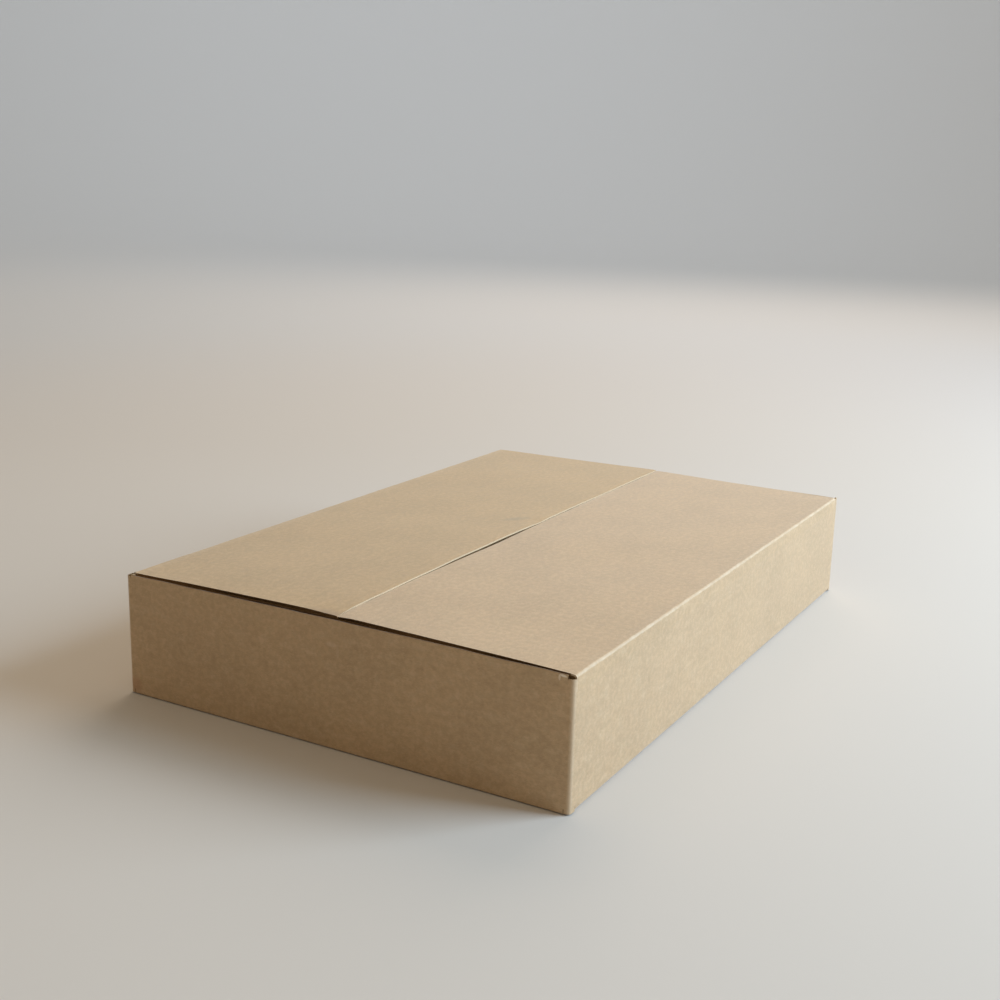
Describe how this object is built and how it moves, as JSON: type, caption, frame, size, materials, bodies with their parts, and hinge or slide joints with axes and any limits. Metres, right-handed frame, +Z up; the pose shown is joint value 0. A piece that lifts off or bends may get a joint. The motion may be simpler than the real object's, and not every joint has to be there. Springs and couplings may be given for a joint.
{
  "type": "shallow cardboard box",
  "caption": "Shallow corrugated carton with slotted flaps: a glued bottom, folded-in end flaps and long top flaps that meet in the middle and swing open.",
  "frame": {"origin": "middle of the footprint, on the surface the carton stands on", "axes": "+X across the short end towards the right flap's crease, +Y along the long side walls towards the back end, +Z up"},
  "size_m": [0.2, 0.3, 0.0526],
  "materials": {
    "kraft_board": "matte"
  },
  "bodies": {
    "carton": {"carton_body": "kraft_board"},
    "left_flap": {"top_flap_left": "kraft_board"},
    "right_flap": {"top_flap_right": "kraft_board"}
  },
  "joints": [
    {"name": "left_flap_crease", "type": "hinge", "parent": "carton", "child": "left_flap", "pos_m": [-0.1, 0, 0.05], "axis": [0, -1, 0], "range_deg": [0, 205]},
    {"name": "right_flap_crease", "type": "hinge", "parent": "carton", "child": "right_flap", "pos_m": [0.1, 0, 0.05], "axis": [0, 1, 0], "range_deg": [0, 205]}
  ]
}
